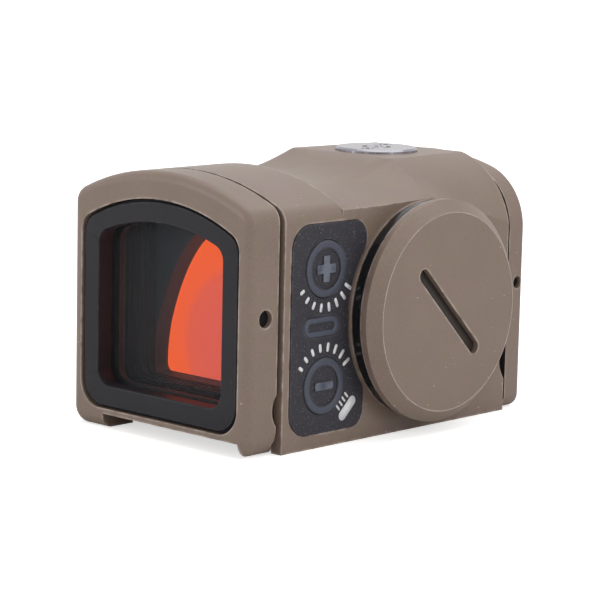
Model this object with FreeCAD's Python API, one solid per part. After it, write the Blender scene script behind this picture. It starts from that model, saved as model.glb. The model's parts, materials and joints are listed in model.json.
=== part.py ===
import FreeCAD, Part
import math
import os

from FreeCAD import Vector

os.makedirs("parts", exist_ok=True)

# Enclosed reflex sight with a clamp-on base.  Millimetres.
# X is across the sight (battery side is +X), Y runs from the objective end
# (-Y) to the eyepiece end (+Y), Z is up.  The origin is the middle of the
# rail seat, the flat roof of the channel under the sight.

# ---- driving dimensions -------------------------------------------------
LENGTH = 47.0
FLAT_TOP_Z = 29.05            # flat that carries the elevation dial
BODY_HALF_W = 14.7
FRONT_HALF_W = 14.3
REAR_HALF_W = 14.5
FRONT_DEPTH = 5.0             # objective bezel, seam included
REAR_DEPTH = 3.45             # eyepiece bezel, seam included
SEAM_W = 0.45
SEAM_D = 0.7
ARCH_R = 32.0
FRONT_APEX_Z = 28.65
REAR_APEX_Z = 28.75
FRONT_CORNER_R = 2.0
REAR_CORNER_R = 7.5
HOOD_CORNER_R = 2.0
FRONT_BOTTOM_R = 2.0
REAR_BOTTOM_R = 1.6
FRONT_EDGE_R = 1.2            # rounding of the outer edge of each bezel
REAR_EDGE_R = 0.7
FRONT_HEEL_Y = 1.9            # the front bezel is cut away at its rear lower corner
FRONT_HEEL_Z = 3.5

FOOT_DROP = 1.65              # the feet reach this far below the rail seat
CHANNEL_LEFT = -9.0
CHANNEL_RIGHT = 12.9
FOOT_SLANT = 0.3

HOOD_LENGTH = 9.2             # arch behind the seam, ends in a ridge
SADDLE_LENGTH = 15.3          # concave dip between the ridge and the flat
RIDGE_SLOPE = -0.45
RAMP_SLOPE = 0.32
RIDGE_STEP = 0.2              # the saddle starts this far below the hood
CREASE_Z = 25.05
CREASE_STEP = 0.25
CREASE_RISE = 0.4
FLAT_FRONT_HALF_W = 8.1
FLAT_REAR_HALF_W = 7.0
SHOULDER_REAR_Z = 21.2
SHOULDER_MID = (12.1, 26.1)

TUNNEL_HALF_W = 10.9
TUNNEL_LOW = 2.6
TUNNEL_HIGH = 23.6
TUNNEL_R = 2.0

WINDOW_HALF_W = 10.0
WINDOW_LOW = 3.3
WINDOW_HIGH = 22.9
WINDOW_ARCH_R = 26.0
WINDOW_R = 1.8
FRAME_HALF_W = 12.65
FRAME_LOW = 0.65
FRAME_HIGH = 25.5
FRAME_LOW_R = 3.0
FRAME_TOP_R = 2.2
FRAME_RECESS = 0.15
FRAME_GROOVE_W = 0.3          # step round the outer front edge of each frame
FRAME_GROOVE_D = 0.5
FRAME_REBATE = 0.8
GLASS_T = 1.2
SEAL_T = 0.8
BEZEL_LEDGE = 0.8

LINER_WALL = 0.7
LINER_RIDGES = 3
CELL_START = 9.3              # lens cell, from the objective end
CELL_LIP = 1.7                # bevelled lip in front of the lens
CELL_DEPTH = 4.3
CELL_HALF_W = 10.15
CELL_LOW = 3.65
CELL_HIGH = 21.4
CELL_SHOULDER_Z = 4.45
CELL_LOW_R = 0.7
CELL_ARCH_POWER = 1.45        # 2 gives an ellipse, 1 a parabola
CELL_BEVEL = 0.55
LENS_SPHERE_R = 110.0
LENS_T = 1.7
LENS_RIM = 0.3                # how far the lens reaches past its aperture
LENS_BULGE = 0.2              # the lens vertex stands this far into the lip
RETAINER_T = 1.0

DIAL_Y = 12.4
DIAL_R = 4.95
DIAL_T = 2.1
DIAL_PROUD = 0.45
DIAL_BOSS_R = 1.75
DIAL_KEY_AF = 1.5
SPANNER_R = 0.75
SPANNER_PITCH_R = 3.05
SPANNER_TURN = 21.0
WIND_Z = 13.1
WIND_R = 3.6
WIND_T = 1.5
WIND_PROUD = 0.4
SHAFT_R = 1.5
TIP_REACH = 1.6               # shaft length inside the emitter frame
ADJUST_TRAVEL = 0.3
SEAL_RING_R = 0.45

EMITTER_HALF_W = 10.2
EMITTER_LOW = 3.3
EMITTER_HIGH = 22.9
EMITTER_BAR = 2.0
EMITTER_T = 5.0
SLIDER_T = 1.0
GUIDE_T = 1.0
LED_R = 0.6

CAP_Y = 4.4
CAP_Z = 12.5
CELL_R = 10.0
CELL_T = 3.2
CAP_RIM_R = 12.85
CAP_FACE_R = 11.5
CAP_FACE_X = 19.0
CAP_BEVEL_X = 17.75
CAP_RIM_X = 16.85
SPIGOT_WALL = 1.2
CELL_PLAY = 0.25              # round the coin cell, radial
CONTACT_R = 4.0
SPIGOT_DEPTH = 3.65
POCKET_FLOOR_X = 12.5
CONTACT_T = 0.3
BOSS_R = 12.5
BOSS_X = 15.2
GASKET_R = 12.6
SLOT_L = 14.5
SLOT_W = 1.6
SLOT_D = 1.2
SLOT_TURN = 45.0

PANEL_FRONT = -17.4
PANEL_BACK = -5.4
PANEL_LOW = 0.0
PANEL_HIGH = 23.6
PANEL_R = 2.8
PANEL_TIP_R = 2.0
PANEL_T = 0.9
PANEL_PROUD = 0.12
PANEL_MARGIN = 0.15           # bare metal between the panel and the boss
BUTTON_Y = -12.05
PLUS_Z = 18.5
MINUS_Z = 5.35
BUTTON_R = 3.2
BUTTON_RING_W = 0.95
BUTTON_FLANGE = 0.5
BUTTON_RAISE = 0.12
BUTTON_FLANGE_T = 0.4
GLYPH_L = 2.9
GLYPH_W = 1.0
STATUS_Y = -12.6
STATUS_Z = 12.05
STATUS_L = 5.9
STATUS_H = 2.2
BOARD_FRONT = -16.4
BOARD_BACK = -8.1
BOARD_LOW = 1.7
BOARD_HIGH = 22.2
BOARD_T = 0.6
DOME_R = 2.0
DOME_T = 0.35

FRONT_DIMPLE_R = 1.0
REAR_DIMPLE_R = 0.75
DIMPLE_D = 1.2
DIMPLE_Z = 13.7
FRONT_DIMPLE_INSET = 2.6
REAR_DIMPLE_INSET = 1.2
SCOOP_D = 0.75                # how deep the scallops beside the seams cut inwards
FRONT_SCOOP_Z = 3.35
FRONT_SCOOP_R = 2.7
FRONT_SCOOP_W = 0.65
REAR_SCOOP_Z = 5.0
REAR_SCOOP_R = 4.3
REAR_SCOOP_W = 1.0

# ---- fits ---------------------------------------------------------------
RUN = 0.05                    # running clearance, radial
SEAT = 0.04                   # parts set into their recess
MOVE = 0.05                   # faces that slide past each other

# ---- derived planes -----------------------------------------------------
FRONT_Y = -LENGTH / 2
REAR_Y = LENGTH / 2
HOUSING_FRONT = FRONT_Y + FRONT_DEPTH
HOUSING_REAR = REAR_Y - REAR_DEPTH
RIDGE_Y = HOUSING_FRONT + HOOD_LENGTH
FLAT_Y = RIDGE_Y + SADDLE_LENGTH
FEET_Z = -FOOT_DROP
SPIGOT_R = CELL_R + CELL_PLAY + SPIGOT_WALL
SEAL_Z = TUNNEL_HIGH + 1.6
SPIGOT_END_X = CAP_RIM_X - SPIGOT_DEPTH
FAR = 60.0


# ---- helpers ------------------------------------------------------------
def save(node, shape):
    shape.exportStep("parts/" + node + ".step")


def box(x0, x1, y0, y1, z0, z1):
    return Part.makeBox(x1 - x0, y1 - y0, z1 - z0, Vector(x0, y0, z0))


def rod_x(radius, x0, x1, y, z):
    return Part.makeCylinder(radius, x1 - x0, Vector(x0, y, z), Vector(1, 0, 0))


def rod_y(radius, y0, y1, x, z):
    return Part.makeCylinder(radius, y1 - y0, Vector(x, y0, z), Vector(0, 1, 0))


def rod_z(radius, z0, z1, x, y):
    return Part.makeCylinder(radius, z1 - z0, Vector(x, y, z0), Vector(0, 0, 1))


def round_long_edges(solid, radius, low, high):
    """Fillet the edges along Y whose middle lies between the heights low and high."""
    edges = []
    for edge in solid.Edges:
        first, last = edge.Vertexes[0].Point, edge.Vertexes[-1].Point
        along = abs(first.x - last.x) < 1e-6 and abs(first.z - last.z) < 1e-6
        if along and low <= first.z <= high and abs(first.y - last.y) > 1e-6:
            edges.append(edge)
    return solid.makeFillet(radius, edges)


def side_height(half_w, apex, radius):
    return apex - (radius - math.sqrt(radius ** 2 - half_w ** 2))


def arch_prism(half_w, low, apex, radius, y0, y1, top_r=0.0, low_r=0.0):
    """Prism along Y with straight sides, a flat bottom and an arched top."""
    side = side_height(half_w, apex, radius)
    points = [Vector(-half_w, y0, low), Vector(half_w, y0, low)]
    right, left = Vector(half_w, y0, side), Vector(-half_w, y0, side)
    top = Part.Arc(right, Vector(0, y0, apex), left).toShape()
    lines = [Part.makeLine(points[0], points[1]), Part.makeLine(points[1], right)]
    lines += [top, Part.makeLine(left, points[0])]
    solid = Part.Face(Part.Wire(lines)).extrude(Vector(0, y1 - y0, 0))
    middle = (low + side) / 2
    if top_r:
        solid = round_long_edges(solid, top_r, middle, side + 1)
    if low_r:
        solid = round_long_edges(solid, low_r, low - 1, middle)
    return solid


def window_prism(grow, y0, y1):
    """The window opening, grown all round, between two planes."""
    return arch_prism(WINDOW_HALF_W + grow, WINDOW_LOW - grow, WINDOW_HIGH + grow,
                      WINDOW_ARCH_R + grow, y0, y1, WINDOW_R + grow, WINDOW_R + grow)


def frame_prism(grow, y0, y1):
    return arch_prism(FRAME_HALF_W + grow, FRAME_LOW - grow, FRAME_HIGH + grow,
                      WINDOW_ARCH_R + grow, y0, y1, FRAME_TOP_R, FRAME_LOW_R)


def tunnel_prism(shrink, y0, y1):
    solid = box(-TUNNEL_HALF_W + shrink, TUNNEL_HALF_W - shrink, y0, y1,
                TUNNEL_LOW + shrink, TUNNEL_HIGH - shrink)
    return round_long_edges(solid, TUNNEL_R - shrink, TUNNEL_LOW - 1, TUNNEL_HIGH + 1)


def aperture_wire(grow, y):
    """Outline of the lens aperture: a flat foot, short sides and a pointed arch."""
    half_w = CELL_HALF_W + grow
    rise = CELL_HIGH + grow - CELL_SHOULDER_Z
    low = CELL_LOW - grow
    count = 16
    arch = []
    for index in range(count + 1):
        x = half_w * math.cos(math.pi * index / count)
        z = CELL_SHOULDER_Z + rise * max(0.0, 1 - (x / half_w) ** 2) ** (1 / CELL_ARCH_POWER)
        arch.append(Vector(x, y, z))
    curve = Part.BSplineCurve()
    curve.interpolate(arch)
    r = CELL_LOW_R + grow
    diagonal = r * (1 - math.sqrt(0.5))
    left_top, left_foot = Vector(-half_w, y, low + r), Vector(-half_w + r, y, low)
    left_mid = Vector(-half_w + diagonal, y, low + diagonal)
    right_foot, right_top = Vector(half_w - r, y, low), Vector(half_w, y, low + r)
    right_mid = Vector(half_w - diagonal, y, low + diagonal)
    edges = [curve.toShape(), Part.makeLine(arch[-1], left_top)]
    edges.append(Part.Arc(left_top, left_mid, left_foot).toShape())
    edges.append(Part.makeLine(left_foot, right_foot))
    edges.append(Part.Arc(right_foot, right_mid, right_top).toShape())
    edges.append(Part.makeLine(right_top, arch[0]))
    return Part.Wire(edges)


def aperture_prism(grow, y0, y1):
    return Part.Face(aperture_wire(grow, y0)).extrude(Vector(0, y1 - y0, 0))


def channel(y0, y1):
    """The slot between the feet: a flat roof and slightly slanted sides."""
    points = [Vector(CHANNEL_LEFT, y0, 0), Vector(CHANNEL_RIGHT, y0, 0)]
    points.append(Vector(CHANNEL_RIGHT + FOOT_SLANT, y0, FEET_Z))
    points.append(Vector(CHANNEL_RIGHT + FOOT_SLANT, y0, FEET_Z - 5))
    points.append(Vector(CHANNEL_LEFT + FOOT_SLANT, y0, FEET_Z - 5))
    points.append(Vector(CHANNEL_LEFT + FOOT_SLANT, y0, FEET_Z))
    points.append(points[0])
    return Part.Face(Part.makePolygon(points)).extrude(Vector(0, y1 - y0, 0))


def slot_bar(length, width, y0, y1, z0, z1):
    """Upright bar with rounded ends, its length along X, for a slotted hole."""
    half = (length - width) / 2
    bar = box(-half, half, y0, y1, z0, z1)
    middle = (y0 + y1) / 2
    bar = bar.fuse(rod_z(width / 2, z0, z1, -half, middle))
    return bar.fuse(rod_z(width / 2, z0, z1, half, middle)).removeSplitter()


def obround_x(length, height, x0, x1, y, z):
    """Flat stadium facing +X, its length along Y."""
    half = (length - height) / 2
    body = box(x0, x1, y - half, y + half, z - height / 2, z + height / 2)
    for end in (-half, half):
        body = body.fuse(rod_x(height / 2, x0, x1, y + end, z))
    return body.removeSplitter()


def ring_z(radius, thick, z, x, y):
    return Part.makeTorus(radius, thick, Vector(x, y, z), Vector(0, 0, 1))


# ---- housing ------------------------------------------------------------
def saddle_height(y):
    """Height of the middle line between the ridge and the flat."""
    t = (y - RIDGE_Y) / SADDLE_LENGTH
    start = (2 * t ** 3 - 3 * t ** 2 + 1) * (FRONT_APEX_Z - RIDGE_STEP)
    start += (t ** 3 - 2 * t ** 2 + t) * SADDLE_LENGTH * RIDGE_SLOPE
    end = (3 * t ** 2 - 2 * t ** 3) * FLAT_TOP_Z
    end += (t ** 3 - t ** 2) * SADDLE_LENGTH * RAMP_SLOPE
    return start + end


def saddle_fall(u, t):
    """1 on the middle line, 0 at the side crease: an arch that turns into a trapezoid."""
    arch = 1 - u ** 2
    edge = (1 - abs(u)) / (1 - FLAT_FRONT_HALF_W / BODY_HALF_W)
    soft = 0.05
    trapezoid = 0.5 * (1 + edge - math.sqrt((1 - edge) ** 2 + soft ** 2))
    blend = min(max(t, 0.0), 1.0)
    return (1 - blend) * arch + blend * trapezoid


def saddle_cutter():
    """Everything above the concave surface that rises from the ridge through the flat."""
    rows = []
    reach = BODY_HALF_W + 0.8
    for j in range(-1, 13):
        t = j / 10
        y = RIDGE_Y + t * SADDLE_LENGTH
        side = CREASE_Z - CREASE_STEP + CREASE_RISE * t * abs(t)
        row = []
        for i in range(-14, 15):
            x = reach * i / 14
            u = x / BODY_HALF_W
            z = side + (saddle_height(y) - side) * saddle_fall(u, t)
            row.append(Vector(x, y, z))
        rows.append(row)
    surface = Part.BSplineSurface()
    surface.interpolate(rows)
    return surface.toShape().extrude(Vector(0, 0, 12))


def rear_section(y, side_top, mid, flat_half):
    corners = [Vector(-BODY_HALF_W, y, 0), Vector(BODY_HALF_W, y, 0)]
    right, left = Vector(BODY_HALF_W, y, side_top), Vector(-BODY_HALF_W, y, side_top)
    flat_right, flat_left = Vector(flat_half, y, FLAT_TOP_Z), Vector(-flat_half, y, FLAT_TOP_Z)
    edges = [Part.makeLine(corners[0], corners[1]), Part.makeLine(corners[1], right)]
    edges.append(Part.Arc(right, Vector(mid[0], y, mid[1]), flat_right).toShape())
    edges.append(Part.makeLine(flat_right, flat_left))
    edges.append(Part.Arc(flat_left, Vector(-mid[0], y, mid[1]), left).toShape())
    edges.append(Part.makeLine(left, corners[0]))
    return Part.Wire(edges)


def housing_outside():
    hood = arch_prism(BODY_HALF_W, 0, FRONT_APEX_Z, ARCH_R, HOUSING_FRONT, RIDGE_Y, HOOD_CORNER_R)
    bulge = 0.03
    front_mid = ((BODY_HALF_W + FLAT_FRONT_HALF_W) / 2 + bulge, (CREASE_Z + FLAT_TOP_Z) / 2 + bulge)
    front = rear_section(FLAT_Y, CREASE_Z, front_mid, FLAT_FRONT_HALF_W)
    back = rear_section(HOUSING_REAR, SHOULDER_REAR_Z, SHOULDER_MID, FLAT_REAR_HALF_W)
    rear = Part.makeLoft([front, back], True, True)
    saddle = Part.Face(front).extrude(Vector(0, -SADDLE_LENGTH, 0))
    upper = saddle.fuse(rear).removeSplitter().cut(saddle_cutter())
    rail = box(0, BODY_HALF_W, HOUSING_FRONT, HOUSING_REAR, FEET_Z, 1)
    rail = rail.cut(channel(HOUSING_FRONT - 1, HOUSING_REAR + 1))
    rail = rail.common(box(CHANNEL_RIGHT, FAR, -FAR, FAR, FEET_Z, 1))
    boss = rod_x(BOSS_R, BODY_HALF_W - 1, BOSS_X, CAP_Y, CAP_Z)
    return upper.fuse([hood, rail, boss]).removeSplitter()


def panel_outline(grow, x0, x1):
    """Keypad outline: a rounded rectangle bitten by the battery boss."""
    y0, y1 = PANEL_FRONT - grow, PANEL_BACK + grow
    z0, z1 = PANEL_LOW - grow, PANEL_HIGH + grow
    plate = box(x0, x1, y0, y1, z0, z1)
    bite = rod_x(BOSS_R + PANEL_MARGIN - grow, x0 - 1, x1 + 1, CAP_Y, CAP_Z)
    plate = plate.cut(bite)
    corners = []
    for edge in plate.Edges:
        a, b = edge.Vertexes[0].Point, edge.Vertexes[-1].Point
        if abs(a.y - b.y) < 1e-6 and abs(a.z - b.z) < 1e-6 and abs(a.y - y0) < 1e-3:
            corners.append(edge)
    plate = plate.makeFillet(PANEL_R + grow, corners)
    tips = []
    for edge in plate.Edges:
        a, b = edge.Vertexes[0].Point, edge.Vertexes[-1].Point
        along = abs(a.y - b.y) < 1e-6 and abs(a.z - b.z) < 1e-6 and abs(a.x - b.x) > 1e-6
        if along and a.y > BUTTON_Y + 3:
            tips.append(edge)
    return plate.makeFillet(PANEL_TIP_R + grow / 2, tips)


def button_pocket():
    pocket = box(POCKET_FLOOR_X - BOARD_T - SEAT, BODY_HALF_W, BOARD_FRONT - SEAT, BOARD_BACK + SEAT,
                 BOARD_LOW - SEAT, BOARD_HIGH + SEAT)
    return pocket


def dimple(radius, half_w, y):
    right = rod_x(radius, half_w - DIMPLE_D, half_w + 1, y, DIMPLE_Z)
    left = rod_x(radius, -half_w - 1, -half_w + DIMPLE_D, y, DIMPLE_Z)
    return right.fuse(left)


def main_housing():
    solid = housing_outside()
    solid = solid.cut(tunnel_prism(0, HOUSING_FRONT - 1, HOUSING_REAR + 1))
    solid = solid.cut(rod_x(SPIGOT_R + RUN, POCKET_FLOOR_X, FAR, CAP_Y, CAP_Z))
    solid = solid.cut(rod_x(CONTACT_R + SEAT, POCKET_FLOOR_X - CONTACT_T, FAR, CAP_Y, CAP_Z))
    panel_floor = BODY_HALF_W + PANEL_PROUD - PANEL_T - SEAT
    solid = solid.cut(panel_outline(SEAT, panel_floor, BODY_HALF_W + 1))
    solid = solid.cut(button_pocket())
    dial_floor = FLAT_TOP_Z + DIAL_PROUD - DIAL_T - MOVE
    solid = solid.cut(rod_z(DIAL_R + RUN, dial_floor, FAR, 0, DIAL_Y))
    solid = solid.cut(rod_z(SHAFT_R + RUN, TUNNEL_HIGH - 1, FAR, 0, DIAL_Y))
    seal_r = SHAFT_R + 2 * SEAL_RING_R + RUN
    solid = solid.cut(rod_z(seal_r, SEAL_Z - SEAL_RING_R, SEAL_Z + SEAL_RING_R, 0, DIAL_Y))
    wind_floor = -(BODY_HALF_W + WIND_PROUD - WIND_T - MOVE)
    solid = solid.cut(rod_x(WIND_R + RUN, -FAR, wind_floor, DIAL_Y, WIND_Z))
    solid = solid.cut(rod_x(SHAFT_R + RUN, -FAR, -TUNNEL_HALF_W + 1, DIAL_Y, WIND_Z))
    scoop_y = HOUSING_REAR - REAR_SCOOP_W + REAR_SCOOP_R
    return solid.cut(rod_x(REAR_SCOOP_R, BODY_HALF_W - SCOOP_D, FAR, scoop_y, REAR_SCOOP_Z))


# ---- bezels and windows -------------------------------------------------
def bezel(half_w, apex, corner_r, bottom_r, edge_r, outer_y, seam_y):
    """A bezel between its outer face and the housing; the seam is a thin neck."""
    low, high = min(outer_y, seam_y), max(outer_y, seam_y)
    solid = arch_prism(half_w, FEET_Z, apex, ARCH_R, low, high, corner_r, bottom_r)
    outer = [edge for edge in solid.Edges if abs(edge.BoundBox.YMin - outer_y) < 1e-6
             and abs(edge.BoundBox.YMax - outer_y) < 1e-6]
    solid = solid.makeFillet(edge_r, outer)
    inward = 1 if seam_y > outer_y else -1
    lip = seam_y - inward * SEAM_W
    neck = arch_prism(half_w - SEAM_D, FEET_Z + SEAM_D, apex - SEAM_D, ARCH_R - SEAM_D,
                      low - 1, high + 1, corner_r, bottom_r)
    groove = box(-FAR, FAR, min(lip, seam_y), max(lip, seam_y), -FAR, FAR).cut(neck)
    solid = solid.cut(groove).cut(channel(low - 1, high + 1))
    ledge = seam_y - inward * BEZEL_LEDGE
    solid = solid.cut(frame_prism(SEAT, min(outer_y - inward, ledge), max(outer_y - inward, ledge)))
    return solid.cut(tunnel_prism(0, low - 1, high + 1))


def front_bezel():
    solid = bezel(FRONT_HALF_W, FRONT_APEX_Z, FRONT_CORNER_R, FRONT_BOTTOM_R, FRONT_EDGE_R,
                  FRONT_Y, HOUSING_FRONT)
    solid = solid.cut(dimple(FRONT_DIMPLE_R, FRONT_HALF_W, FRONT_Y + FRONT_DIMPLE_INSET))
    lip = HOUSING_FRONT - SEAM_W
    inner = FRONT_HALF_W - SCOOP_D
    scoop_y = lip - FRONT_SCOOP_W + FRONT_SCOOP_R
    solid = solid.cut(rod_x(FRONT_SCOOP_R, inner, FAR, scoop_y, FRONT_SCOOP_Z))
    start, end = Vector(inner, lip, FEET_Z + FRONT_HEEL_Z), Vector(inner, lip - FRONT_HEEL_Y, FEET_Z)
    middle = Vector(inner, lip - 0.28 * FRONT_HEEL_Y, FEET_Z + 0.35 * FRONT_HEEL_Z)
    behind, below = Vector(inner, HOUSING_FRONT + 1, start.z), Vector(inner, HOUSING_FRONT + 1, FEET_Z - 1)
    under = Vector(inner, end.y, FEET_Z - 1)
    edges = [Part.Arc(start, middle, end).toShape(), Part.makeLine(end, under)]
    edges += [Part.makeLine(under, below), Part.makeLine(below, behind), Part.makeLine(behind, start)]
    return solid.cut(Part.Face(Part.Wire(edges)).extrude(Vector(FAR, 0, 0)))


def rear_bezel():
    solid = bezel(REAR_HALF_W, REAR_APEX_Z, REAR_CORNER_R, REAR_BOTTOM_R, REAR_EDGE_R,
                  REAR_Y, HOUSING_REAR)
    return solid.cut(dimple(REAR_DIMPLE_R, REAR_HALF_W, REAR_Y - REAR_DIMPLE_INSET))


def window_set(outer_y, seam_y):
    """Frame, glass and seal of one window, stacked from the outside inwards."""
    inward = 1 if seam_y > outer_y else -1
    face = outer_y + inward * FRAME_RECESS
    back = seam_y - inward * BEZEL_LEDGE
    seal_face = back - inward * SEAL_T
    glass_face = seal_face - inward * GLASS_T

    def span(a, b):
        return min(a, b), max(a, b)

    step = face + inward * FRAME_GROOVE_D
    frame = frame_prism(0, *span(step, back)).fuse(frame_prism(-FRAME_GROOVE_W, *span(face, step)))
    frame = frame.removeSplitter()
    frame = frame.cut(window_prism(0, *span(face - inward, back + inward)))
    frame = frame.cut(window_prism(FRAME_REBATE, *span(glass_face, back + inward)))
    glass = window_prism(FRAME_REBATE - SEAT, *span(glass_face, seal_face))
    seal = window_prism(FRAME_REBATE - SEAT, *span(seal_face, back))
    seal = seal.cut(window_prism(0, *span(seal_face - inward, back + inward)))
    return frame, glass, seal


# ---- optics -------------------------------------------------------------
LINER_START = HOUSING_FRONT
CELL_Y = FRONT_Y + CELL_START
LENS_Y = CELL_Y + CELL_LIP
LENS_VERTEX_Y = LENS_Y - LENS_BULGE
CELL_BACK = CELL_Y + CELL_DEPTH


def tunnel_liner():
    """Blackened sleeve from the front seam to the lens cell, with glare ridges."""
    solid = tunnel_prism(SEAT, LINER_START, CELL_Y)
    solid = solid.cut(tunnel_prism(SEAT + LINER_WALL, LINER_START - 1, CELL_Y + 1))
    pitch = (CELL_Y - LINER_START) / (LINER_RIDGES + 1)
    for index in range(LINER_RIDGES):
        y = LINER_START + pitch * (index + 1)
        ridge = tunnel_prism(SEAT, y - 0.25, y + 0.25)
        ridge = ridge.cut(tunnel_prism(SEAT + LINER_WALL + 0.35, y - 1, y + 1))
        solid = solid.fuse(ridge)
    return solid.removeSplitter()


def lens_cell():
    solid = tunnel_prism(SEAT, CELL_Y, CELL_BACK)
    mouth = Part.makeLoft([aperture_wire(CELL_BEVEL, CELL_Y), aperture_wire(0, LENS_Y)], True, True)
    return solid.cut(mouth).cut(aperture_prism(LENS_RIM + SEAT, LENS_Y, CELL_BACK + 1))


def reflector_lens():
    """Thin meniscus: two spheres of one radius, the hollow side to the eyepiece."""
    middle_z = (CELL_LOW + CELL_HIGH) / 2
    front = Part.makeSphere(LENS_SPHERE_R, Vector(0, LENS_VERTEX_Y + LENS_SPHERE_R, middle_z))
    back = Part.makeSphere(LENS_SPHERE_R, Vector(0, LENS_VERTEX_Y + LENS_T + LENS_SPHERE_R, middle_z))
    return aperture_prism(LENS_RIM - RUN, LENS_VERTEX_Y - 1, CELL_BACK).common(front).cut(back)


def lens_retainer():
    solid = tunnel_prism(SEAT, CELL_BACK, CELL_BACK + RETAINER_T)
    return solid.cut(aperture_prism(-0.3, CELL_BACK - 1, CELL_BACK + RETAINER_T + 1))


def ring_plate(half_w, low, high, bar, y0, y1):
    solid = round_long_edges(box(-half_w, half_w, y0, y1, low, high), 1.2, low - 1, high + 1)
    inner = box(-half_w + bar, half_w - bar, y0 - 1, y1 + 1, low + bar, high - bar)
    return solid.cut(round_long_edges(inner, 1.0, low, high))


EMITTER_Y0 = DIAL_Y - EMITTER_T / 2
EMITTER_Y1 = DIAL_Y + EMITTER_T / 2
SLIDER_Y0 = EMITTER_Y1 + MOVE
GUIDE_Y0 = SLIDER_Y0 + SLIDER_T + MOVE


def emitter_frame():
    """Ring round the sight line, moved by the two adjuster tips."""
    solid = ring_plate(EMITTER_HALF_W, EMITTER_LOW, EMITTER_HIGH, EMITTER_BAR, EMITTER_Y0, EMITTER_Y1)
    reach = 2 * (SHAFT_R + RUN + ADJUST_TRAVEL + MOVE)
    width = 2 * (SHAFT_R + RUN)
    hole = slot_bar(reach, width, DIAL_Y - width / 2, DIAL_Y + width / 2, EMITTER_HIGH - EMITTER_BAR - 1,
                    EMITTER_HIGH + 1)
    solid = solid.cut(hole)
    side = slot_bar(reach, width, DIAL_Y - width / 2, DIAL_Y + width / 2, -1, EMITTER_BAR + 2)
    side.rotate(Vector(0, DIAL_Y, 0), Vector(0, 1, 0), 90)
    side.translate(Vector(-EMITTER_HALF_W - 1, 0, WIND_Z))
    return solid.cut(side)


def windage_slider():
    return ring_plate(EMITTER_HALF_W, EMITTER_LOW - 0.3, EMITTER_HIGH + 0.3, EMITTER_BAR - 0.4,
                      SLIDER_Y0, SLIDER_Y0 + SLIDER_T)


def slider_guide():
    """Plate that closes the adjuster bay and carries the slider."""
    solid = tunnel_prism(SEAT, GUIDE_Y0, GUIDE_Y0 + GUIDE_T)
    return solid.cut(window_prism(-0.9, GUIDE_Y0 - 1, GUIDE_Y0 + GUIDE_T + 1))


def rear_baffle():
    """Sleeve between the guide plate and the rear seam."""
    start = GUIDE_Y0 + GUIDE_T
    solid = tunnel_prism(SEAT, start, HOUSING_REAR)
    return solid.cut(tunnel_prism(SEAT + LINER_WALL, start - 1, HOUSING_REAR + 1))


def emitter_holder():
    floor = EMITTER_LOW + EMITTER_BAR
    solid = box(-2.2, 2.2, DIAL_Y - 1.6, DIAL_Y + 1.8, floor, floor + 2.4)
    return solid.cut(rod_y(LED_R + SEAT, DIAL_Y - 2, DIAL_Y - 0.4, 0, floor + 1.5))


def emitter_led():
    floor = EMITTER_LOW + EMITTER_BAR
    return rod_y(LED_R, DIAL_Y - 1.7, DIAL_Y - 0.4, 0, floor + 1.5)


# ---- adjusters ----------------------------------------------------------
def hex_prism(across_flats, length):
    radius = across_flats / math.sqrt(3)
    points = []
    for index in range(7):
        angle = math.radians(60 * index)
        points.append(Vector(radius * math.cos(angle), radius * math.sin(angle), 0))
    return Part.Face(Part.makePolygon(points)).extrude(Vector(0, 0, length))


def dial(radius, thickness, shaft_end, spanner):
    """Dial with its top face at z = 0 and its shaft down to z = -shaft_end."""
    solid = rod_z(radius, -thickness, 0, 0, 0)
    rim = [edge for edge in solid.Edges if abs(edge.BoundBox.ZMin) < 1e-6 and edge.Closed]
    solid = solid.makeChamfer(0.22, rim)
    groove = rod_z(DIAL_BOSS_R, -0.3, 1, 0, 0).cut(rod_z(DIAL_BOSS_R - 0.45, -0.3, 1, 0, 0))
    solid = solid.cut(groove)
    key = hex_prism(DIAL_KEY_AF, 2)
    key.translate(Vector(0, 0, -1.0))
    solid = solid.cut(key)
    if spanner:
        for side in (-1, 1):
            turn = math.radians(90 + SPANNER_TURN)
            x = side * SPANNER_PITCH_R * math.cos(turn)
            y = side * SPANNER_PITCH_R * math.sin(turn)
            solid = solid.cut(rod_z(SPANNER_R, -0.7, 1, x, y))
    shaft = rod_z(SHAFT_R, -shaft_end, -thickness + 0.1, 0, 0)
    return solid.fuse(shaft).removeSplitter()


def elevation_screw():
    top = FLAT_TOP_Z + DIAL_PROUD
    solid = dial(DIAL_R, DIAL_T, top - (EMITTER_HIGH - TIP_REACH), True)
    solid.translate(Vector(0, DIAL_Y, top))
    return solid


def elevation_seal():
    return ring_z(SHAFT_R + SEAL_RING_R + RUN, SEAL_RING_R - RUN, SEAL_Z, 0, DIAL_Y)


def windage_screw():
    top = BODY_HALF_W + WIND_PROUD
    solid = dial(WIND_R, WIND_T, top - (EMITTER_HALF_W - TIP_REACH), False)
    solid.rotate(Vector(0, 0, 0), Vector(0, 1, 0), -90)
    solid.translate(Vector(-top, DIAL_Y, WIND_Z))
    return solid


# ---- battery ------------------------------------------------------------
def battery_cell():
    solid = rod_x(CELL_R, POCKET_FLOOR_X, POCKET_FLOOR_X + CELL_T, CAP_Y, CAP_Z)
    return solid.makeFillet(0.25, [edge for edge in solid.Edges if edge.Closed and edge.Length > 1])


def battery_contact():
    return rod_x(CONTACT_R, POCKET_FLOOR_X - CONTACT_T, POCKET_FLOOR_X, CAP_Y, CAP_Z)


def contact_spring():
    """Dished spring plate under the cap that presses on the cell."""
    start = POCKET_FLOOR_X + CELL_T + MOVE
    cone = Part.makeCone(3.0, 8.5, CAP_RIM_X - start, Vector(start, CAP_Y, CAP_Z), Vector(1, 0, 0))
    inner = Part.makeCone(2.6, 8.1, CAP_RIM_X - start, Vector(start + 0.3, CAP_Y, CAP_Z), Vector(1, 0, 0))
    return cone.cut(inner)


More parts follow.
